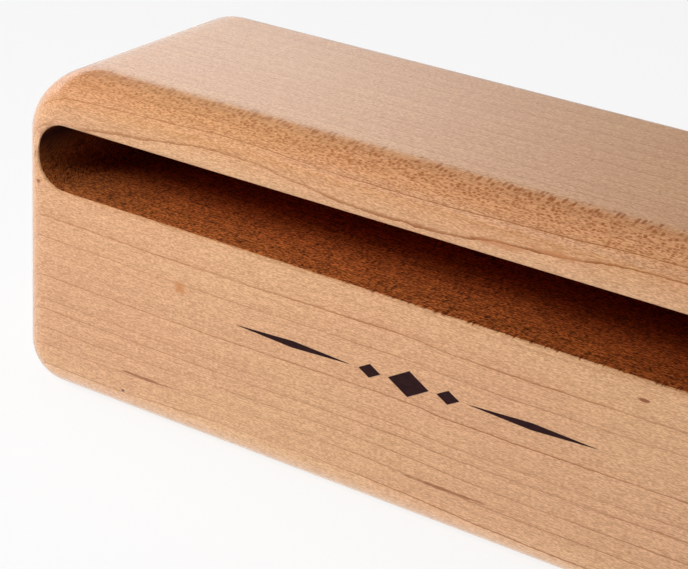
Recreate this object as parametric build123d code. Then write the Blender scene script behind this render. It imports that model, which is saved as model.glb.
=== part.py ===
from build123d import *
import os

# A wood block: one billet of hard maple with a long slot milled into its front, just under the top,
# and a dark ornament below the slot, engraved and filled.
# Frame: origin at the middle of the underside, X along the block, front at -Y, +Z up. Millimetres.

# Billet
block_length = 171.5
block_width = 57.0
block_height = 63.5
top_corner_round = 13.0
bottom_corner_round = 8.5
edge_round = 6.35

# Slot
strike_plate = 9.5
slot_height = 12.7
slot_end_wall = 4.5
slot_back_wall = 9.5
slot_lip_round = 0.5

# Ornament: a middle lozenge, then on each side a small lozenge and a rule that tapers to both ends
mark_middle_height = 26.8
mark_depth = 0.3
mark_gap = 1.5
lozenge_length = 8.0
lozenge_height = 4.9
small_lozenge_length = 4.4
small_lozenge_height = 2.6
rule_length = 24.0
rule_height = 1.3

# Worked out from the sizes above
front_y = -block_width / 2
slot_length = block_length - 2 * slot_end_wall
slot_depth = block_width - slot_back_wall
slot_middle_height = block_height - strike_plate - slot_height / 2
small_lozenge_x = lozenge_length / 2 + mark_gap + small_lozenge_length / 2
rule_x = small_lozenge_x + small_lozenge_length / 2 + mark_gap + rule_length / 2

# Both planes face the front, so a cut into the wood from the front has a negative amount
front_plane = Plane.XZ.offset(-front_y)
back_plane = Plane.XZ.offset(front_y)


def lozenge(middle_x, length, height):
    """One lozenge of the ornament, at its place along the front."""
    right = (length / 2, 0)
    top = (0, height / 2)
    left = (-length / 2, 0)
    bottom = (0, -height / 2)
    with Locations((middle_x, mark_middle_height)):
        Polygon(right, top, left, bottom)


def make_front_mark():
    """The filling of the engraved ornament, flush with the front."""
    with BuildPart() as filling:
        with BuildSketch(front_plane):
            lozenge(0, lozenge_length, lozenge_height)
            for side in (-1, 1):
                lozenge(side * small_lozenge_x, small_lozenge_length, small_lozenge_height)
                lozenge(side * rule_x, rule_length, rule_height)
        extrude(amount=-mark_depth)
    return filling.part


def make_maple_block(filling):
    """The billet, rounded over, with its slot and the recess that the filling sits in."""
    with BuildPart() as block:
        with BuildSketch(back_plane) as outline:
            Rectangle(block_length, block_height, align=(Align.CENTER, Align.MIN))
            fillet(outline.vertices().group_by(Axis.Y)[-1], top_corner_round)
            fillet(outline.vertices().group_by(Axis.Y)[0], bottom_corner_round)
        extrude(amount=block_width)
        for flat in (0, -1):
            fillet(block.faces().filter_by(Axis.Y).sort_by(Axis.Y)[flat].edges(), edge_round)
        with BuildSketch(front_plane):
            with Locations((0, slot_middle_height)):
                SlotOverall(slot_length, slot_height)
        extrude(amount=-slot_depth, mode=Mode.SUBTRACT)
        mouth = block.edges(Select.LAST).filter_by_position(Axis.Y, front_y, front_y + edge_round)
        fillet(mouth, slot_lip_round)
        add(filling, mode=Mode.SUBTRACT)
    return block.part


front_mark = make_front_mark()
maple_block = make_maple_block(front_mark)

os.makedirs("parts", exist_ok=True)
export_step(maple_block, "parts/maple_block.step")
export_step(front_mark, "parts/front_mark.step")
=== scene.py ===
import math

import bmesh
import bpy
from mathutils import Matrix, Vector, noise


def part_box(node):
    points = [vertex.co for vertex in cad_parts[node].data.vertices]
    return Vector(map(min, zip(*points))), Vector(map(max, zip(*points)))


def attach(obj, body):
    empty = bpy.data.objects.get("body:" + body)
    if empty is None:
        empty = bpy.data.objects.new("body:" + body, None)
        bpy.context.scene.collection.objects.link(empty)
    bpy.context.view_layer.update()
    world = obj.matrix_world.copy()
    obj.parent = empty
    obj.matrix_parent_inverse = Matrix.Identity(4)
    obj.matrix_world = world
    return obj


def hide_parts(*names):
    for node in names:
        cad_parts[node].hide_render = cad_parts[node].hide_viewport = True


# A maple wood block: a lacquered billet with a raw, milled slot, and a dark ornament filled into its front.
# Metres, in the part's own frame: X along the block, front at -Y, +Z up, standing on the floor at Z 0.

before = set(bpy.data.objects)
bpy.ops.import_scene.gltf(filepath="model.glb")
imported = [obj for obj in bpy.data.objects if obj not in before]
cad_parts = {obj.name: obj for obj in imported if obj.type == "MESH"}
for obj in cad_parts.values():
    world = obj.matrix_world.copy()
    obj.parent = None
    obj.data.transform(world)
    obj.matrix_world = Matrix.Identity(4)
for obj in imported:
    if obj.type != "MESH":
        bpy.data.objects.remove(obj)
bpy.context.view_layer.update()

MM = 0.001
BLOCK_LOW, BLOCK_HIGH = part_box("maple_block")

# The billet. Its front lies a film's thickness behind the ornament's face.
FILM = 0.04 * MM
FRONT = BLOCK_LOW.y + FILM
BACK = BLOCK_HIGH.y
END = BLOCK_HIGH.x
HEIGHT = BLOCK_HIGH.z
TOP_CORNER = 13.0 * MM
BOTTOM_CORNER = 8.5 * MM
EDGE_ROUND = 6.35 * MM
TOP_EDGE_DEPTH = 9.3 * MM
TINY = 0.002 * MM

# The slot, and the wood that is left over it, past its ends and behind it
STRIKE_PLATE = 9.5 * MM
END_WOOD = 4.5 * MM
BACK_WOOD = 9.5 * MM
SLOT_HEIGHT = 12.7 * MM
SLOT_RADIUS = SLOT_HEIGHT / 2
SLOT_END = END - END_WOOD
SLOT_MIDDLE = HEIGHT - STRIKE_PLATE - SLOT_RADIUS
SLOT_BACK = BACK - BACK_WOOD
LIP_ROUND = 0.5 * MM

# How near the slot's outline its mouth and its walls lie, and how far off it the front begins
AT_SLOT = 0.1 * MM
RAW_REACH = 0.3 * MM
PAST_LIP = 0.9 * LIP_ROUND

# The slot's walls are looked for behind the first depth, and are all in front of the second
WALLS_BEGIN = 3 * MM
WALLS_END = 50 * MM

# The torn lower lip: how far in and how far down it is torn, the lengths of its notches and of its torn
# patches, and the stretch of X over which it grows
TORN_DEPTH = 1.8 * MM
TEAR_REACH = 0.55 * MM
NOTCH = 1.1 * MM
SMALL_NOTCH = 0.6 * MM
TORN_PATCH = 9.0 * MM
TEAR_START = -25 * MM
TEAR_GROWTH = 30 * MM

# Divisions of the billet's mesh, chosen so that its outline and the slot's have as many points
ALONG = 300
CORNER_STEPS = 16
SLOT_CORNER_STEPS = 24
BACK_RINGS = 16
FRONT_RINGS = 10
FRONT_CUTS = (2, 19)
LIP_STEPS = 4

# Loops close to a round keep its shading from spreading over the flat beside it
HOLD = 0.6 * MM
BACK_RIMS = (0.6 * MM, 0.8 * MM)
CREASE = math.radians(60)

# How far the front's edge is rolled over in rings, before the faces that lead on to the slot
ROLLED = 2.8 * MM
NEAR_ROLLED = 0.01 * MM


def link(obj):
    """Puts an object in the scene."""
    bpy.context.scene.collection.objects.link(obj)
    return obj


def mesh_object(name, bm):
    """Ends a bmesh and makes it an object of that name."""
    mesh = bpy.data.meshes.new(name)
    bm.to_mesh(mesh)
    bm.free()
    return link(bpy.data.objects.new(name, mesh))


def edge_distance(place):
    """How far a point of the front lies inside the billet's outline."""
    radius = TOP_CORNER if place.z > HEIGHT / 2 else BOTTOM_CORNER
    across = abs(place.x) - (END - radius)
    rise = abs(place.z - HEIGHT / 2) - (HEIGHT / 2 - radius)
    if across > 0 and rise > 0:
        return radius - math.hypot(across, rise)
    return radius - max(across, rise)


def slot_distance(place):
    """How far a point of the front lies outside the slot's outline."""
    across = max(abs(place.x) - (SLOT_END - SLOT_RADIUS), 0.0)
    return math.hypot(across, place.z - SLOT_MIDDLE) - SLOT_RADIUS


def edge_drop(place):
    """How far the rounded edge has fallen back from the flat front at a point of the front."""
    left = EDGE_ROUND - max(edge_distance(place), 0.0)
    return EDGE_ROUND - math.sqrt(EDGE_ROUND ** 2 - max(left, 0.0) ** 2)


def top_share(place):
    """1 along the top edge, easing to 0 round the top corners to the ends."""
    across = max(abs(place.x) - (END - TOP_CORNER), 0.0)
    rise = max(place.z - (HEIGHT - TOP_CORNER), 0.0)
    return rise ** 2 / max(across ** 2 + rise ** 2, TINY ** 2)


def long_edges(bm, axis, least):
    """The edges that span at least that much along an axis."""
    return [e for e in bm.edges if abs(e.verts[0].co[axis] - e.verts[1].co[axis]) > least]


def round_edges(bm, edges, radius, steps):
    """Rounds edges off."""
    bmesh.ops.bevel(bm, geom=edges, offset=radius, segments=steps, profile=0.5,
                    affect="EDGES", clamp_overlap=False, material=-1)


def cut_across(bm, geometry, y):
    """Cuts a loop into some of a mesh at that depth."""
    bmesh.ops.bisect_plane(bm, geom=geometry, dist=TINY, plane_co=(0, y, 0), plane_no=(0, 1, 0))


def rounded_bar(low, high, top_radius, bottom_radius, steps):
    """A bar between two corners, with the edges that run front to back rounded."""
    bm = bmesh.new()
    verts = bmesh.ops.create_cube(bm, size=1.0)["verts"]
    bmesh.ops.scale(bm, vec=high - low, verts=verts)
    bmesh.ops.translate(bm, vec=(low + high) / 2, verts=verts)
    middle = (low.z + high.z) / 2
    through = long_edges(bm, 1, (high.y - low.y) / 2)
    above = [e for e in through if e.verts[0].co.z > middle]
    below = [e for e in through if e.verts[0].co.z < middle]
    round_edges(bm, above, top_radius, steps)
    round_edges(bm, below, bottom_radius, steps)
    bmesh.ops.remove_doubles(bm, verts=bm.verts[:], dist=TINY)
    ends = [f for f in bm.faces if abs(f.normal.y) > 0.9]
    bmesh.ops.delete(bm, geom=ends, context="FACES_ONLY")
    bmesh.ops.subdivide_edges(bm, edges=long_edges(bm, 0, END), cuts=ALONG - 1)
    bmesh.ops.subdivide_edges(bm, edges=long_edges(bm, 2, SLOT_HEIGHT), cuts=steps - 1)
    bmesh.ops.holes_fill(bm, edges=bm.edges[:], sides=0)
    return bm


def end_face(bm, y):
    """The flat face that closes a bar at that depth."""
    return next(f for f in bm.faces if len(f.verts) > 4 and abs(f.calc_center_median().y - y) < TINY)


def roll_over(bm, face, reach, steps):
    """Rounds the border of a flat end face over, ring by ring, as far in as reach."""
    last = math.acos(1 - reach / EDGE_ROUND)
    for i in range(steps):
        turn = last * i / steps
        next_turn = last * (i + 1) / steps
        inward = EDGE_ROUND * (math.cos(turn) - math.cos(next_turn))
        outward = EDGE_ROUND * (math.sin(next_turn) - math.sin(turn))
        bmesh.ops.inset_region(bm, faces=[face], thickness=inward, depth=outward,
                               use_boundary=True, use_even_offset=True)


def make_billet():
    """The outside of the block, its front face open for the slot."""
    low = Vector((-END, FRONT + EDGE_ROUND, 0.0))
    high = Vector((END, BACK - EDGE_ROUND, HEIGHT))
    bm = rounded_bar(low, high, TOP_CORNER, BOTTOM_CORNER, CORNER_STEPS)
    for y in (FRONT + TOP_EDGE_DEPTH + HOLD, high.y - HOLD):
        cut_across(bm, bm.verts[:] + bm.edges[:] + bm.faces[:], y)
    back = end_face(bm, high.y)
    roll_over(bm, back, EDGE_ROUND, BACK_RINGS)
    for rim in BACK_RIMS:
        bmesh.ops.inset_region(bm, faces=[back], thickness=rim, use_boundary=True, use_even_offset=True)
    front = end_face(bm, low.y)
    roll_over(bm, front, ROLLED, FRONT_RINGS)
    bmesh.ops.delete(bm, geom=[front], context="FACES_ONLY")
    return bm


def make_slot():
    """The walls of the slot, open at the front."""
    low = Vector((-SLOT_END, FRONT, SLOT_MIDDLE - SLOT_RADIUS))
    high = Vector((SLOT_END, SLOT_BACK, SLOT_MIDDLE + SLOT_RADIUS))
    bm = rounded_bar(low, high, SLOT_RADIUS, SLOT_RADIUS, SLOT_CORNER_STEPS)
    bmesh.ops.delete(bm, geom=[end_face(bm, FRONT)], context="FACES_ONLY")
    for v in bm.verts:
        if v.co.y < FRONT + TINY:
            v.co.y += edge_drop(v.co)
    return bm


def inward_edges(bm):
    """The edges that lead from the rolled rim of the front towards the slot."""
    rim = [v for v in bm.verts if v.co.y < 0 and abs(edge_distance(v.co) - ROLLED) < NEAR_ROLLED]
    return [e for v in rim for e in v.link_edges
            if edge_distance(e.other_vert(v).co) > ROLLED + NEAR_ROLLED]


def join_slot(bm):
    """Sets the slot's walls into the billet, joins the front to them and rounds the lip."""
    walls = bpy.data.meshes.new("slot_walls")
    slot = make_slot()
    slot.to_mesh(walls)
    slot.free()
    bm.from_mesh(walls)
    bpy.data.meshes.remove(walls)
    open_edges = [e for e in bm.edges if e.is_boundary]
    mouth = [e for e in open_edges if slot_distance(e.verts[0].co) < AT_SLOT]
    bmesh.ops.bridge_loops(bm, edges=open_edges)
    bmesh.ops.recalc_face_normals(bm, faces=bm.faces[:])
    round_edges(bm, mouth, LIP_ROUND, LIP_STEPS)
    for cuts in FRONT_CUTS:
        bmesh.ops.subdivide_edges(bm, edges=inward_edges(bm), cuts=cuts)


def cut_behind_lip(bm):
    """Cuts a loop into the slot's walls where the tear of the lip ends."""
    middles = [(f, f.calc_center_median()) for f in bm.faces]
    walls = [f for f, middle in middles
             if middle.y > FRONT + WALLS_BEGIN and slot_distance(middle) < AT_SLOT]
    around = list(dict.fromkeys(g for f in walls for g in (f, *f.edges, *f.verts)))
    cut_across(bm, around, FRONT + TORN_DEPTH)


def tear(x):
    """How far the cutter tore the slot's lower lip out at a place along it: more to the right."""
    ragged = noise.noise(Vector((x / NOTCH, 0.0, 3.0)))
    ragged += 0.5 * noise.noise(Vector((x / SMALL_NOTCH, 0.0, 8.0)))
    patch = noise.noise(Vector((x / TORN_PATCH, 0.0, 5.0))) + 0.25
    worn = min(max((x - TEAR_START) / TEAR_GROWTH, 0.12), 1.0)
    return TEAR_REACH * worn * max(ragged, 0.0) * min(max(patch, 0.15), 1.0)


def shape_front(bm):
    """Rounds the front's edge, deeper along the top, and tears the slot's lower lip."""
    for v in bm.verts:
        from_slot = slot_distance(v.co)
        if v.co.y > FRONT + EDGE_ROUND + TINY:
            continue
        if from_slot > PAST_LIP:
            if edge_distance(v.co) > ROLLED - TINY:
                v.co.y = FRONT + edge_drop(v.co)
            deeper = 1 + (TOP_EDGE_DEPTH / EDGE_ROUND - 1) * top_share(v.co)
            v.co.y = FRONT + (v.co.y - FRONT) * deeper
        elif v.co.z < SLOT_MIDDLE and v.co.y < FRONT + TORN_DEPTH - TINY:
            v.co.z -= tear(v.co.x) * (1 - from_slot / LIP_ROUND)


def set_finish(bm):
    """Gives the slot's walls the second finish, and shades all but sharp edges smooth."""
    for f in bm.faces:
        f.smooth = True
        middle = f.calc_center_median()
        depth = middle.y - FRONT - edge_drop(middle)
        f.material_index = int(slot_distance(middle) < RAW_REACH and LIP_ROUND < depth < WALLS_END)
    for e in bm.edges:
        e.smooth = e.calc_face_angle(0.0) < CREASE


def make_block():
    """The billet joined to its slot. Its second finish is the raw wood inside the slot."""
    bm = make_billet()
    join_slot(bm)
    cut_behind_lip(bm)
    shape_front(bm)
    set_finish(bm)
    return mesh_object("block_of_maple", bm)


class Nodes:
    """Adds nodes to a tree. What is fed to a socket is another socket or a fixed value."""

    def __init__(self, tree):
        self.tree = tree

    def add(self, kind, **settings):
        node = self.tree.nodes.new(kind)
        for name, value in settings.items():
            setattr(node, name, value)
        return node

    def feed(self, socket, value):
        if isinstance(value, bpy.types.NodeSocket):
            self.tree.links.new(value, socket)
        else:
            socket.default_value = value

    def math(self, operation, *values, clamp=False):
        node = self.add("ShaderNodeMath", operation=operation, use_clamp=clamp)
        for socket, value in zip(node.inputs, values):
            self.feed(socket, value)
        return node.outputs[0]

    def times(self, first, *others):
        """The product of several values."""
        product = first
        for other in others:
            product = self.math("MULTIPLY", product, other)
        return product

    def apart(self, vector):
        """The X, Y and Z of a place."""
        node = self.add("ShaderNodeSeparateXYZ")
        self.feed(node.inputs[0], vector)
        return node.outputs

    def stretched(self, vector, size):
        """Divides a place by the size of a pattern along X, Y and Z."""
        node = self.add("ShaderNodeVectorMath", operation="DIVIDE")
        self.feed(node.inputs[0], vector)
        node.inputs[1].default_value = size
        return node.outputs[0]

    def noise(self, vector, size, detail=1.0):
        """Soft noise from 0 to 1, its grains of that size along X, Y and Z."""
        node = self.add("ShaderNodeTexNoise")
        self.feed(node.inputs["Vector"], self.stretched(vector, size))
        node.inputs["Scale"].default_value = 1.0
        node.inputs["Detail"].default_value = detail
        node.inputs["Roughness"].default_value = 0.5
        return node.outputs["Fac"]

    def cells(self, vector, size):
        """Cells of that size: how far it is to the nearest one's heart, and a number of its own."""
        node = self.add("ShaderNodeTexVoronoi")
        self.feed(node.inputs["Vector"], self.stretched(vector, size))
        node.inputs["Scale"].default_value = 1.0
        own = self.add("ShaderNodeSeparateColor")
        self.feed(own.inputs[0], node.outputs["Color"])
        return node.outputs["Distance"], own.outputs[0]

    def swing(self, vector, size, reach, detail=1.0):
        """Noise that swings about 0, about as far as reach."""
        return self.math("MULTIPLY", self.math("SUBTRACT", self.noise(vector, size, detail), 0.5), 2 * reach)

    def step(self, value, low, high, start=0.0, end=1.0):
        """Eases from start to end while a value goes from low to high."""
        node = self.add("ShaderNodeMapRange", interpolation_type="SMOOTHSTEP")
        for socket, number in zip(node.inputs, (value, low, high, start, end)):
            self.feed(socket, number)
        return node.outputs["Result"]

    def mix(self, factor, a, b, blend="MIX"):
        node = self.add("ShaderNodeMix", data_type="RGBA", blend_type=blend)
        for name, value in (("Factor_Float", factor), ("A_Color", a), ("B_Color", b)):
            socket = next(s for s in node.inputs if s.identifier == name)
            self.feed(socket, value if isinstance(value, (bpy.types.NodeSocket, float)) else (*value, 1.0))
        return next(s for s in node.outputs if s.identifier == "Result_Color")

    def tinted(self, factor, colour, tint):
        """A colour, multiplied by a tint as far as a factor says."""
        return self.mix(factor, colour, self.mix(1.0, colour, tint, "MULTIPLY"))

    def bump(self, height, depth, strength):
        node = self.add("ShaderNodeBump")
        node.inputs["Strength"].default_value = strength
        node.inputs["Distance"].default_value = depth
        self.feed(node.inputs["Height"], height)
        return node.outputs["Normal"]


# The log that the billet was sawn from, in millimetres of the part's frame: where its pith ran, and its
# growth rings, each by its radius and by how strongly its last wood shows as a line
PITH_Y = 63.5
PITH_Z = 75.0
RINGS = ((30.0, 0.30), (35.5, 0.30), (41.0, 0.30), (46.9, 0.35), (50.4, 0.20), (53.1, 0.50), (57.2, 0.35),
         (61.1, 0.35), (65.5, 0.40), (68.0, 0.30), (70.4, 0.30), (72.4, 0.35), (75.9, 0.40), (78.9, 0.20),
         (80.8, 0.35), (84.2, 0.30), (87.0, 0.30), (89.8, 0.40), (92.2, 1.10), (93.8, 1.15), (96.0, 0.50),
         (98.2, 0.15), (100.3, 1.00), (102.0, 0.70), (105.7, 1.00), (108.2, 0.45), (109.2, 0.70),
         (111.0, 0.75), (112.9, 0.65), (115.2, 1.00), (117.6, 0.75), (120.0, 0.75))

# How far the rings sway along the block, as places along X and reaches: over the slot, below it, at the foot
SWAY_OVER = ((-86, -0.75), (-77, -0.60), (-65, -0.28), (-50, 0.10), (-40, 0.36), (-25, 0.00), (-10, -0.24),
             (5, -0.18), (14, 0.05), (26, 0.25), (44, 0.75), (62, 0.55), (86, 0.10))
SWAY_BELOW = ((-86, 0.32), (-65, 0.12), (-45, 0.00), (-10, 0.15), (1, 0.10), (8, -0.15), (29, -0.20),
              (44, -0.15), (86, 0.10))
SWAY_FOOT = ((-86, -0.10), (-77, -0.18), (-65, -0.27), (-50, 0.02), (-30, 0.36), (-15, 0.40), (0, 0.16),
             (9, -0.15), (19, -0.38), (44, -0.52), (86, -0.10))

# The radii between which each sway sets in, and the smaller wavers of the rings by their size and reach
SWAYS = ((SWAY_OVER, 88.5, 91.5), (SWAY_BELOW, 95.5, 99.0), (SWAY_FOOT, 109.0, 112.0))
WAVERS = (((70, 30, 30), 0.10), ((16, 10, 10), 0.08), ((3.0, 1.2, 1.2), 0.07), ((0.8, 0.5, 0.5), 0.05))

# From here to the colours, a group of two or four numbers is a range as Nodes.step takes it, a group of
# three is a size along X, Y and Z, and lengths are millimetres.

# The line that ends a ring: how it sets in and goes out before the ring's end, its patches, how it gains to
# the right and near the pith, and the share of a ring that is late wood
LINE_RISE = (0.18, 0.04)
LINE_END = (0.0, 0.02)
LINE_PATCH = (25, 8, 8)
LINE_FADING = (0.32, 0.62, 0.48, 0.95)
LINE_TO_RIGHT = (-60.0, 30.0, 0.60, 1.08)
LINE_TO_PITH = (91.0, 85.0, 1.0, 1.9)
LATE_WOOD = (0.35, 0.95)

# Rays, in a space of X, the way round the pith at a radius, and the distance from the pith
RAY_RADIUS = 95.0
DASH_SIZE = (0.80, 0.17, 1.5)
DASH_RIM = (0.56, 0.26)
FLECK_SIZE = (0.9, 2.0, 2.8)
FLECK_RIM = (0.46, 0.30)
FLECK_CHOICE = (0.30, 0.55)

# Fibres, and the paler and darker wood that they and longer streaks make
COARSE_FIBRE = (1.7, 0.23, 0.23)
FINE_FIBRE = (0.62, 0.16, 0.16)
COARSE_SHARE = 0.35
FINE_SHARE = 0.65
FIBRE_SHADE = (0.24, 0.76, 0.05, 1.05)
LATE_SHADE = -0.10
LONG_STREAK = (14.0, 0.40, 0.40)
LONG_STREAK_SHADE = 0.28
PINK_PATCH = (55, 18, 18)
PINK_RANGE = (0.35, 0.65)

# The band of rounded edge at the top of the front: how its tint, partly the wood's deeper tone and partly
# painted shade where the edge turns up away from the front light, and its dashes rise with Z, where both end
# at the flat top and towards the back, and how the dashes gain to the right. They show faintly elsewhere.
BAND_TINT_AND_SHADE_RISE = (52.5, 62.6)
BAND_DASH_RISE = (56.0, 62.4)
BAND_TOP = (63.47, 63.30)
BAND_BACK = (-17.5, -20.0)
BAND_DASH_TO_RIGHT = (-75.0, 15.0, 0.36, 0.68)
DASHES_ELSEWHERE = 0.17

# Flecks show in a strip along the front of the flat top, more to the right
STRIP_FRONT = (-22.4, -21.4)
STRIP_BACK = (-19.0, -19.7)
STRIP_RISE = (62.0, 63.0)
STRIP_TO_RIGHT = (-60.0, 40.0, 0.35, 0.80)
# Where the foot is painted paler with light from the floor, growing from 8 mm down to 3 mm above it
FOOT_PAINTED_LIGHT_RISE = (8.0, 3.0)

# The dark fringe of the torn lip: the size of its notches, how deep they go, where along X they grow, and
# its borders below the lip, inside the slot, between notches, past the slot's straight and behind the front
FRINGE_NOTCH = (0.55, 9.0, 9.0)
FRINGE_DEPTH = (0.45, 0.75, 0.0, 0.34)
FRINGE_TO_RIGHT = (-35.0, 15.0, 0.12, 1.0)
FRINGE_BELOW = (0.05, -0.20)
FRINGE_INSIDE = (-0.6, -0.1)
FRINGE_NOTCHED = (0.0, 0.08)
FRINGE_ENDS = (75.0, 73.0)
FRINGE_FRONT = (-26.5, -27.5)

# Colours of the wood, as linear light, and tints that multiply them
MAPLE = (0.668, 0.366, 0.179)
MAPLE_PINK = (0.658, 0.345, 0.174)
DARK_FIBRE = (0.78, 0.708, 0.620)
PALE_FIBRE = (1.20, 1.262, 1.340)
RING_LINE = (0.32, 0.087, 0.002)
RAY = (0.29, 0.068, 0.001)
# Partly the wood's deeper tone, partly painted shade on the front's top edge
EDGE_TINT_AND_PAINTED_SHADE = (0.935, 0.855, 0.795)
# A painted glow on the foot, standing in for light from the white floor
FOOT_PAINTED_LIGHT = (1.20, 1.25, 1.30)
FLECK = (0.32, 0.078, 0.010)
TORN = (0.27, 0.090, 0.026)
KNOT = (0.55, 0.195, 0.040)
SMUDGE = (0.52, 0.190, 0.055)
STREAK = (0.25, 0.056, 0.002)
PORE = (0.05, 0.020, 0.012)

# The raw wood of the slot: its tint at the mouth, painted shade deep in, high at its ends, to the right and
# to the left, tints of its dull and its bright fibres, and the colour of burnt furrows
RAW_MOUTH = (0.72, 0.37, 0.170)
RAW_DEEP_PAINTED_SHADE = (0.77, 0.25, 0.11)
RAW_END_PAINTED_SHADE = (0.06, 0.010, 0.005)
RAW_RIGHT_PAINTED_SHADE = (0.76, 0.64, 0.54)
RAW_LEFT_PAINTED_SHADE = (0.80, 0.84, 0.86)
RAW_DULL = (0.68, 0.64, 0.60)
RAW_BRIGHT = (1.47, 1.52, 1.56)
SCORCHED = (0.045, 0.008, 0.002)

# The ornament's filler, the floor and the backdrop
FILLER_DARK = (0.018, 0.0055, 0.006)
FILLER_PALE = (0.034, 0.010, 0.011)
FLOOR_PALE = (0.9, 0.9, 0.9, 1.0)
BACKDROP_PALE = (0.956, 0.956, 0.956, 1.0)

# Small marks on the front, in millimetres: the centre along X and Z, the size along X and Z, the colour and
# how strongly it shows. Then how deep they go, and how soft and how ragged their rims are
MARKS = (((-48.0, 30.2), (3.2, 3.0), KNOT, 0.75), ((-55.3, 9.6), (13.0, 0.65), STREAK, 0.75),
         ((9.0, 9.5), (22.0, 0.75), STREAK, 0.75), ((42.2, 37.9), (3.0, 0.8), STREAK, 0.95),
         ((14.5, 56.4), (10.0, 1.5), SMUDGE, 0.60), ((24.0, 57.6), (11.0, 1.3), SMUDGE, 0.65),
         ((-60.4, 5.4), (1.0, 0.8), PORE, 0.9), ((-81.0, 42.0), (1.3, 1.0), STREAK, 0.8))
MARK_DEPTH = 6.0
MARK_RIM = (1.0, 0.45)
MARK_RAGGED = (2.0, 0.6, 0.6)
MARK_RAGGED_REACH = 0.7


def curve_through(nodes, value, places, handle):
    """The height of a curve through (place, height) points, the places in rising order."""
    first, last = places[0][0], places[-1][0]
    heights = [height for _, height in places]
    lowest, highest = min(heights), max(heights)
    curve = nodes.add("ShaderNodeFloatCurve")
    points = curve.mapping.curves[0].points
    length, rise = last - first, highest - lowest
    scaled = [((at - first) / length, (height - lowest) / rise) for at, height in places]
    points[0].location, points[1].location = scaled[0], scaled[-1]
    for at, height in scaled[1:-1]:
        points.new(at, height)
    for point in points:
        point.handle_type = handle
    curve.mapping.update()
    nodes.feed(curve.inputs["Value"], nodes.math("DIVIDE", nodes.math("SUBTRACT", value, first), length))
    return nodes.math("MULTIPLY_ADD", curve.outputs["Value"], rise, lowest)


def about_pith(nodes, y, z):
    """The distance from the pith, and the turn about it."""
    behind = nodes.math("SUBTRACT", y, PITH_Y)
    below = nodes.math("SUBTRACT", z, PITH_Z)
    squares = nodes.math("ADD", nodes.math("MULTIPLY", behind, behind), nodes.math("MULTIPLY", below, below))
    return nodes.math("SQRT", squares), nodes.math("ARCTAN2", below, behind)


def ring_lines(nodes, place, x, from_pith):
    """The thin dark line that ends each ring, fading along the grain, and where the late wood is."""
    sway = 0.0
    for curve, low, high in SWAYS:
        sway = nodes.step(from_pith, low, high, sway, curve_through(nodes, x, curve, "AUTO"))
    radius = nodes.math("ADD", from_pith, sway)
    for size, reach in WAVERS:
        radius = nodes.math("ADD", radius, nodes.swing(place, size, reach))

    counted = [(ring, float(i)) for i, (ring, _) in enumerate(RINGS)]
    widths = [((inner + outer) / 2, outer - inner) for (inner, _), (outer, _) in zip(RINGS, RINGS[1:])]
    part = nodes.math("FRACT", curve_through(nodes, radius, counted, "VECTOR"))
    width = curve_through(nodes, radius, widths, "VECTOR")
    to_end = nodes.times(nodes.math("SUBTRACT", 1.0, part), width)
    line = nodes.times(nodes.step(to_end, *LINE_RISE), nodes.step(to_end, *LINE_END))
    patches = nodes.step(nodes.noise(place, LINE_PATCH, 2.0), *LINE_FADING)
    fading = nodes.times(patches, nodes.step(x, *LINE_TO_RIGHT), nodes.step(from_pith, *LINE_TO_PITH))
    strength = curve_through(nodes, radius, RINGS, "VECTOR")
    return nodes.times(line, fading, strength), nodes.step(part, *LATE_WOOD)


def ray_marks(nodes, x, turn, from_pith):
    """Rays run out from the pith: dashes where the surface cuts across them, flecks where it runs along."""
    spoke = nodes.add("ShaderNodeCombineXYZ")
    for socket, value in zip(spoke.inputs, (x, nodes.times(turn, RAY_RADIUS), from_pith)):
        nodes.feed(socket, value)
    distance, own = nodes.cells(spoke.outputs[0], DASH_SIZE)
    dashes = nodes.times(nodes.step(distance, *DASH_RIM), nodes.math("MULTIPLY_ADD", own, 0.5, 0.5))
    distance, own = nodes.cells(spoke.outputs[0], FLECK_SIZE)
    flecks = nodes.times(nodes.step(distance, *FLECK_RIM), nodes.step(own, *FLECK_CHOICE))
    return dashes, flecks


def fibre_pattern(nodes, place):
    """Fibres that run along the block."""
    coarse = nodes.noise(place, COARSE_FIBRE, 0.0)
    fine = nodes.noise(place, FINE_FIBRE, 0.0)
    return nodes.math("ADD", nodes.times(coarse, COARSE_SHARE), nodes.times(fine, FINE_SHARE))


def plain_maple(nodes, place, fibres, late_wood):
    """The colour of maple, paler and darker with its fibres."""
    pinker = nodes.step(nodes.noise(place, PINK_PATCH, 2.0), *PINK_RANGE)
    colour = nodes.mix(pinker, MAPLE, MAPLE_PINK)
    dark = nodes.mix(1.0, colour, DARK_FIBRE, "MULTIPLY")
    pale = nodes.mix(1.0, colour, PALE_FIBRE, "MULTIPLY")
    shade = nodes.math("MULTIPLY_ADD", late_wood, LATE_SHADE, nodes.step(fibres, *FIBRE_SHADE))
    shade = nodes.math("ADD", shade, nodes.swing(place, LONG_STREAK, LONG_STREAK_SHADE))
    return nodes.mix(shade, dark, pale)


def torn_fringe(nodes, place, x, y, z):
    """Where the torn lower lip of the slot shows dark."""
    under_lip = nodes.math("SUBTRACT", (SLOT_MIDDLE - SLOT_RADIUS) / MM, z)
    notch = nodes.step(nodes.noise(place, FRINGE_NOTCH, 2.0), *FRINGE_DEPTH)
    notch = nodes.times(notch, nodes.step(x, *FRINGE_TO_RIGHT))
    torn = nodes.step(nodes.math("SUBTRACT", under_lip, notch), *FRINGE_BELOW)
    torn = nodes.times(torn, nodes.step(under_lip, *FRINGE_INSIDE), nodes.step(notch, *FRINGE_NOTCHED))
    along = nodes.step(nodes.math("ABSOLUTE", x), *FRINGE_ENDS)
    return nodes.times(torn, along, nodes.step(y, *FRINGE_FRONT))


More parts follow.
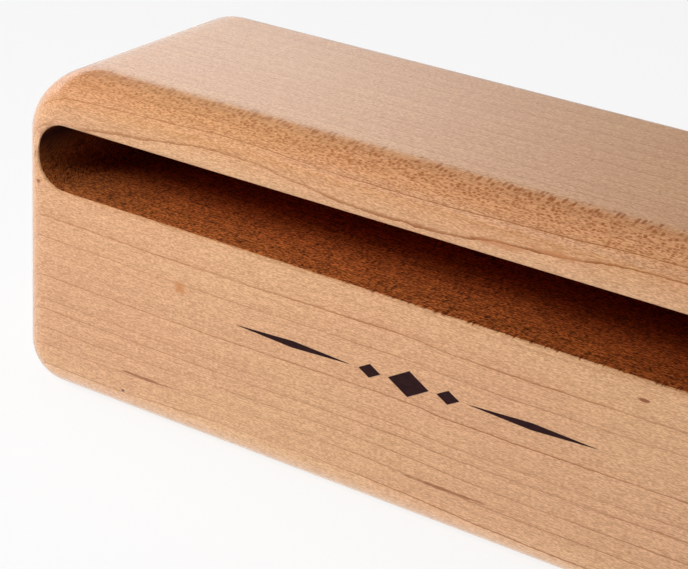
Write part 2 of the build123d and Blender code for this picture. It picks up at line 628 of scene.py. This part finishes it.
def spot(nodes, place, centre, size, ragged):
    """A soft spot on the front: 1 at its centre, 0 from its rim out."""
    shift = nodes.add("ShaderNodeVectorMath", operation="SUBTRACT")
    nodes.feed(shift.inputs[0], place)
    shift.inputs[1].default_value = (centre[0], BLOCK_LOW.y / MM, centre[1])
    length = nodes.add("ShaderNodeVectorMath", operation="LENGTH")
    nodes.feed(length.inputs[0], nodes.stretched(shift.outputs[0], (size[0] / 2, MARK_DEPTH, size[1] / 2)))
    return nodes.step(nodes.math("ADD", length.outputs["Value"], ragged), *MARK_RIM)


def maple_figure():
    """Growth rings, rays, fibres and small marks of maple, from a place in the block, with painted shade on
    the front's top edge and painted light at its foot.
    """
    tree = bpy.data.node_groups.new("maple_figure", "ShaderNodeTree")
    tree.interface.new_socket("Place", in_out="INPUT", socket_type="NodeSocketVector")
    tree.interface.new_socket("Colour", in_out="OUTPUT", socket_type="NodeSocketColor")
    tree.interface.new_socket("Fibres", in_out="OUTPUT", socket_type="NodeSocketFloat")
    tree.interface.new_socket("Rays", in_out="OUTPUT", socket_type="NodeSocketFloat")
    tree.interface.new_socket("Flecks", in_out="OUTPUT", socket_type="NodeSocketFloat")
    nodes = Nodes(tree)
    start = nodes.add("NodeGroupInput")
    end = nodes.add("NodeGroupOutput")
    place = nodes.stretched(start.outputs["Place"], (MM, MM, MM))
    x, y, z = nodes.apart(place)
    from_pith, turn = about_pith(nodes, y, z)
    line, late_wood = ring_lines(nodes, place, x, from_pith)
    dashes, flecks = ray_marks(nodes, x, turn, from_pith)
    fibres = fibre_pattern(nodes, place)

    colour = nodes.mix(line, plain_maple(nodes, place, fibres, late_wood), RING_LINE)
    # Painted shade, with some of the wood's own deeper tone: the top edge of the front and the strip over
    # the slot are tinted darker and oranger
    shaded_band = nodes.times(nodes.step(z, *BAND_TINT_AND_SHADE_RISE), nodes.step(z, *BAND_TOP), nodes.step(y, *BAND_BACK))
    colour = nodes.tinted(shaded_band, colour, EDGE_TINT_AND_PAINTED_SHADE)
    dashed = nodes.times(shaded_band, nodes.step(z, *BAND_DASH_RISE), nodes.step(x, *BAND_DASH_TO_RIGHT))
    colour = nodes.mix(nodes.times(dashes, nodes.math("ADD", dashed, DASHES_ELSEWHERE)), colour, RAY)
    strip = nodes.times(nodes.step(y, *STRIP_FRONT), nodes.step(y, *STRIP_BACK), nodes.step(z, *STRIP_RISE))
    strip = nodes.times(strip, nodes.step(x, *STRIP_TO_RIGHT))
    colour = nodes.mix(nodes.times(flecks, strip), colour, FLECK)
    # Painted light: the foot is made paler, as if lit from the white floor below
    colour = nodes.tinted(nodes.step(z, *FOOT_PAINTED_LIGHT_RISE), colour, FOOT_PAINTED_LIGHT)
    colour = nodes.mix(torn_fringe(nodes, place, x, y, z), colour, TORN)
    ragged = nodes.swing(place, MARK_RAGGED, MARK_RAGGED_REACH, 2.0)
    for centre, size, tint, strength in MARKS:
        mark = spot(nodes, place, centre, size, ragged)
        colour = nodes.mix(nodes.times(mark, strength), colour, tint)

    nodes.feed(end.inputs["Colour"], colour)
    nodes.feed(end.inputs["Fibres"], fibres)
    nodes.feed(end.inputs["Rays"], dashes)
    nodes.feed(end.inputs["Flecks"], flecks)
    return tree


def start_material(name):
    """A new material: its nodes, its Principled shader and the place in the piece."""
    material = bpy.data.materials.new(name)
    material.use_nodes = True
    nodes = Nodes(material.node_tree)
    shader = material.node_tree.nodes["Principled BSDF"]
    place = nodes.add("ShaderNodeTexCoord").outputs["Object"]
    return material, nodes, shader, place


def figure_in(nodes, figure, place):
    """The maple figure, placed in a material."""
    group = nodes.add("ShaderNodeGroup", node_tree=figure)
    nodes.feed(group.inputs["Place"], place)
    return group.outputs


def lacquered_maple(figure):
    """Maple under thin satin lacquer, which lets the fibres show in its sheen."""
    material, nodes, shader, place = start_material("lacquered_maple")
    wood = figure_in(nodes, figure, place)
    nodes.feed(shader.inputs["Base Color"], wood["Colour"])
    nodes.feed(shader.inputs["Roughness"], nodes.step(wood["Fibres"], 0.3, 0.7, 0.55, 0.42))
    relief = nodes.math("SUBTRACT", wood["Fibres"], nodes.times(wood["Rays"], 0.25))
    normal = nodes.bump(relief, 0.05 * MM, 0.6)
    nodes.feed(shader.inputs["Normal"], normal)
    nodes.feed(shader.inputs["Coat Normal"], normal)
    shader.inputs["Specular IOR Level"].default_value = 0.1
    shader.inputs["Coat Weight"].default_value = 1.0
    shader.inputs["Coat Roughness"].default_value = 0.17
    return material


def raw_tint_and_painted_shade(nodes, place):
    """The raw wood's tint, with painted shade that darkens it deep in the slot, high at its ends, to the
    right and at the left.
    """
    x, y, z = nodes.apart(place)
    # Painted shade: redder and darker deep in, near black high at the ends, darker to the right and to the
    # left
    tint = nodes.mix(nodes.step(y, FRONT + 2 * MM, FRONT + 24 * MM), RAW_MOUTH, RAW_DEEP_PAINTED_SHADE)
    at_end = nodes.step(nodes.math("ABSOLUTE", x), SLOT_END - 7 * MM, SLOT_END - 1 * MM)
    high = nodes.step(z, SLOT_MIDDLE - 3 * MM, SLOT_MIDDLE + 3 * MM)
    tint = nodes.mix(nodes.times(at_end, high), tint, RAW_END_PAINTED_SHADE)
    tint = nodes.tinted(nodes.step(x, -20 * MM, 60 * MM), tint, RAW_RIGHT_PAINTED_SHADE)
    return nodes.tinted(nodes.step(x, -45 * MM, -75 * MM), tint, RAW_LEFT_PAINTED_SHADE)


def raw_maple(figure):
    """Maple as the cutter left it: dry and rough, and darkened with painted shade inside the slot."""
    material, nodes, shader, place = start_material("raw_maple")
    wood = figure_in(nodes, figure, place)
    dry_and_shaded = nodes.mix(1.0, wood["Colour"], raw_tint_and_painted_shade(nodes, place), "MULTIPLY")
    dull = nodes.mix(1.0, dry_and_shaded, RAW_DULL, "MULTIPLY")
    bright = nodes.mix(1.0, dry_and_shaded, RAW_BRIGHT, "MULTIPLY")
    dry_and_shaded = nodes.mix(nodes.step(wood["Fibres"], 0.36, 0.64), dull, bright)
    furrows = nodes.noise(place, (5.0 * MM, 0.45 * MM, 0.45 * MM), 2.0)
    cut = nodes.math("MULTIPLY_ADD", wood["Rays"], 0.75, nodes.times(wood["Flecks"], 0.30))
    cut = nodes.math("ADD", cut, nodes.step(furrows, 0.55, 0.72, 0.0, 0.40), clamp=True)
    nodes.feed(shader.inputs["Base Color"], nodes.mix(cut, dry_and_shaded, SCORCHED))
    nodes.feed(shader.inputs["Normal"], nodes.bump(wood["Fibres"], 0.35 * MM, 1.0))
    shader.inputs["Roughness"].default_value = 0.8
    shader.inputs["Specular IOR Level"].default_value = 0.15
    return material


def dark_filling():
    """Dark filler, a little uneven, under the same lacquer."""
    material, nodes, shader, place = start_material("dark_filling")
    uneven = nodes.noise(place, (1.6 * MM, 0.5 * MM, 0.5 * MM), 2.0)
    colour = nodes.mix(nodes.step(uneven, 0.3, 0.7), FILLER_DARK, FILLER_PALE)
    nodes.feed(shader.inputs["Base Color"], colour)
    nodes.feed(shader.inputs["Roughness"], nodes.step(uneven, 0.3, 0.7, 0.50, 0.65))
    nodes.feed(shader.inputs["Normal"], nodes.bump(uneven, 0.02 * MM, 0.5))
    shader.inputs["Specular IOR Level"].default_value = 0.08
    return material


# Where the camera stands, which way it looks and is held, and its lens and sensor in millimetres
CAMERA_PLACE = (0.14483, -0.29108, 0.18028)
CAMERA_VIEW = (-0.471, 0.77939, -0.41317)
CAMERA_UP = (-0.27086, 0.31798, 0.90858)
CAMERA_LENS = 104.86
CAMERA_SENSOR = 36.0

# The floor: half its width, its own light, and the share of the lamps' light that the camera sees on it
FLOOR_HALF = 4.0
FLOOR_GLOW = 0.98
FLOOR_LIT = 0.15

# The studio by the direction that light comes from: the wall's level from left to right, and its dimmer
# foot, then the dim rest of the room, to which it falls off in front and above
WALL_TO_RIGHT = (-0.62, -0.25, 2.5, 0.30)
WALL_FOOT = (0.20, 0.36, 0.40, 1.0)
ROOM_IN_FRONT = (0.05, -0.05)
ROOM_ABOVE = (0.37, 0.43)
ROOM = 0.05


def make_camera():
    """A camera where the photograph was taken from, for a picture of 688 by 569."""
    view = Vector(CAMERA_VIEW).normalized()
    right = view.cross(Vector(CAMERA_UP)).normalized()
    up = right.cross(view)
    data = bpy.data.cameras.new("camera")
    data.lens = CAMERA_LENS
    data.sensor_width = CAMERA_SENSOR
    data.clip_start = 0.01
    camera = link(bpy.data.objects.new("camera", data))
    turn = Matrix((right, up, -view)).transposed().to_4x4()
    camera.matrix_world = Matrix.Translation(CAMERA_PLACE) @ turn
    bpy.context.scene.camera = camera


def make_floor():
    """A pale floor, lit from within as a photographer's white table is, that keeps a faint shadow."""
    bm = bmesh.new()
    bmesh.ops.create_grid(bm, x_segments=1, y_segments=1, size=FLOOR_HALF)
    floor = mesh_object("floor", bm)
    material, nodes, shader, _ = start_material("pale_floor")
    shader.inputs["Base Color"].default_value = FLOOR_PALE
    shader.inputs["Roughness"].default_value = 0.9
    shader.inputs["Specular IOR Level"].default_value = 0.0
    glow = nodes.add("ShaderNodeEmission")
    glow.inputs["Strength"].default_value = FLOOR_GLOW
    blend = nodes.add("ShaderNodeMixShader")
    path = nodes.add("ShaderNodeLightPath")
    nodes.feed(blend.inputs[0], nodes.math("MULTIPLY_ADD", path.outputs["Is Camera Ray"], -FLOOR_LIT, 1.0))
    nodes.feed(blend.inputs[1], shader.outputs[0])
    nodes.feed(blend.inputs[2], glow.outputs[0])
    nodes.feed(nodes.tree.nodes["Material Output"].inputs["Surface"], blend.outputs[0])
    floor.data.materials.append(material)


def make_world():
    """A dim studio with a bright wall low behind on the left, white to the eye."""
    world = bpy.data.worlds.new("studio")
    bpy.context.scene.world = world
    world.use_nodes = True
    nodes = Nodes(world.node_tree)
    backdrop = world.node_tree.nodes["Background"]
    x, y, z = nodes.apart(nodes.add("ShaderNodeTexCoord").outputs["Generated"])
    level = nodes.times(nodes.step(x, *WALL_TO_RIGHT), nodes.step(z, *WALL_FOOT))
    level = nodes.step(y, *ROOM_IN_FRONT, level, ROOM)
    level = nodes.step(z, *ROOM_ABOVE, level, ROOM)
    path = nodes.add("ShaderNodeLightPath")
    nodes.feed(backdrop.inputs["Strength"], nodes.math("MAXIMUM", level, path.outputs["Is Camera Ray"]))
    backdrop.inputs["Color"].default_value = BACKDROP_PALE


def make_lamp(name, place, aim, size, power, spread=180):
    """A square soft box at a place, turned to what it lights. The lacquer doesn't mirror it."""
    data = bpy.data.lights.new(name, "AREA")
    data.energy = power
    data.size = size
    data.spread = math.radians(spread)
    lamp = link(bpy.data.objects.new(name, data))
    turn = (Vector(aim) - Vector(place)).to_track_quat("-Z", "Y").to_matrix().to_4x4()
    lamp.matrix_world = Matrix.Translation(place) @ turn
    lamp.visible_camera = False
    lamp.visible_glossy = False


figure = maple_figure()
block = make_block()
block.data.materials.append(lacquered_maple(figure))
block.data.materials.append(raw_maple(figure))
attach(block, "root")
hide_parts("maple_block")

ornament = bpy.data.objects["front_mark"]
ornament.data.materials.clear()
ornament.data.materials.append(dark_filling())

BLOCK_AIM = (-0.02, -0.02, 0.04)
FRONT_AIM = (-0.063, -0.0285, 0.035)
make_camera()
make_floor()
make_world()
make_lamp("front_box", (-0.45, -0.55, 0.60), BLOCK_AIM, 0.50, 3.6)
make_lamp("near_box", (-0.16, -0.34, 0.34), FRONT_AIM, 0.14, 0.07, 50)
make_lamp("side_box", (-0.75, -0.10, 0.25), BLOCK_AIM, 0.40, 1.4)
make_lamp("top_box", (-0.10, 0.0, 0.90), BLOCK_AIM, 0.60, 2.4)

bpy.context.scene.view_settings.view_transform = "Standard"
